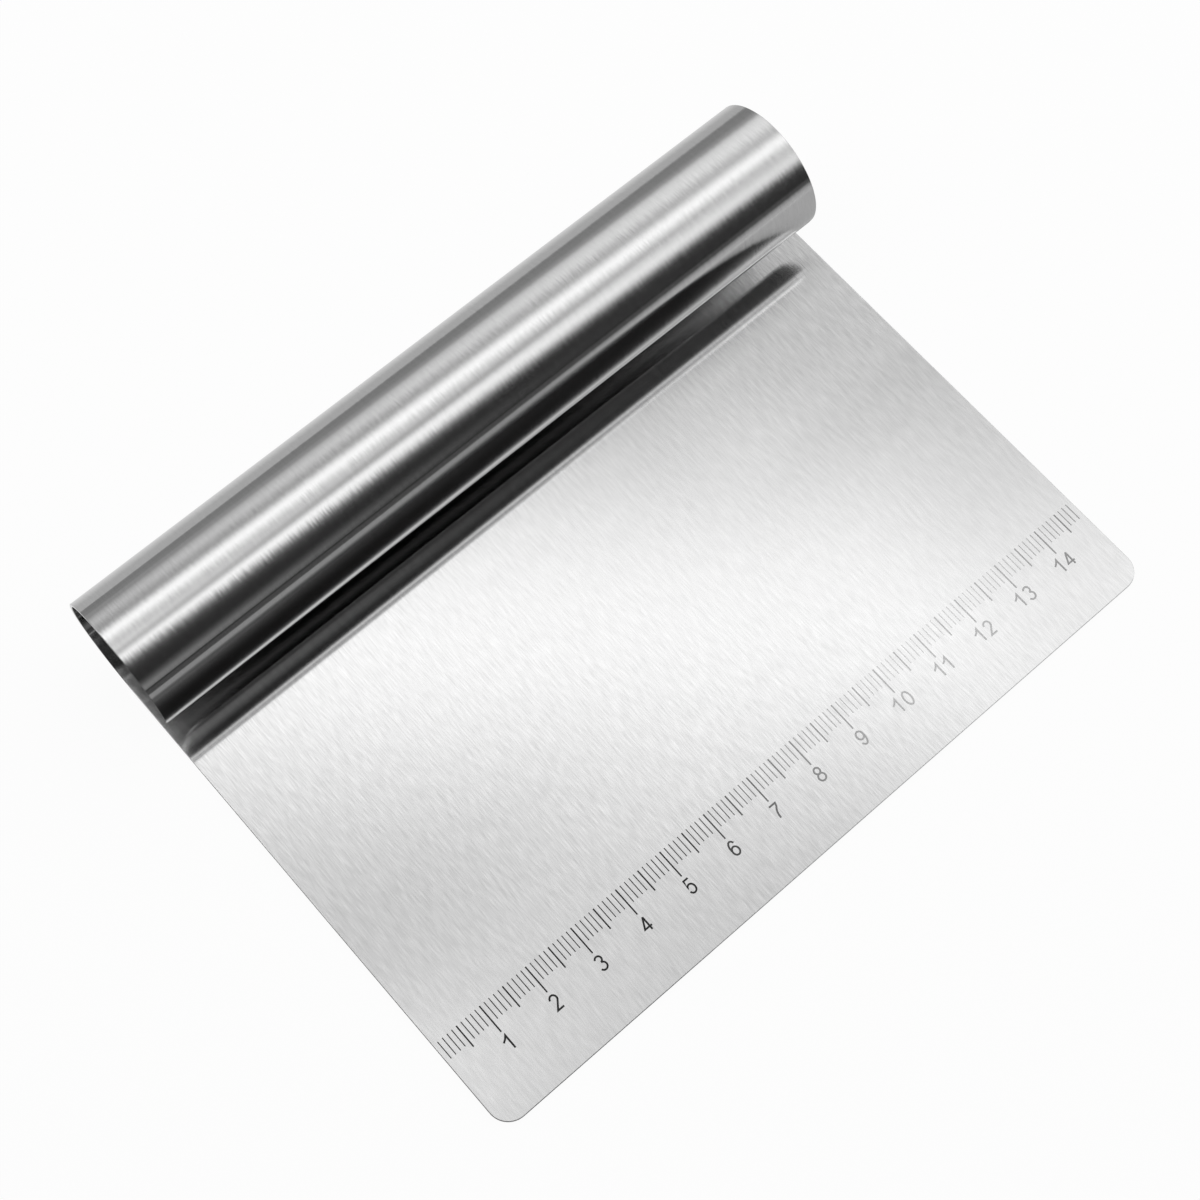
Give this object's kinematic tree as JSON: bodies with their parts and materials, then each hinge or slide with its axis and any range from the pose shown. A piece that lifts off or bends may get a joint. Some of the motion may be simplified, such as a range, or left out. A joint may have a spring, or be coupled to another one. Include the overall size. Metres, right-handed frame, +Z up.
{
  "type": "dough scraper",
  "caption": "Flat rectangular steel blade with rounded scraping corners, its far edge rolled forward into an open tubular handle, for cutting and scraping dough.",
  "frame": {"origin": "on the resting face, under the middle of the whole scraper's box", "axes": "+X along the scraping edge, +Y from the scraping edge to the handle, +Z up out of the blade's front face"},
  "size_m": [0.1492, 0.1134, 0.026],
  "materials": {
    "steel": "fine brushing along the blade's depth and round the roll"
  },
  "bodies": {
    "root": {"blade": "steel", "rolled_handle": "steel"}
  },
  "joints": []
}
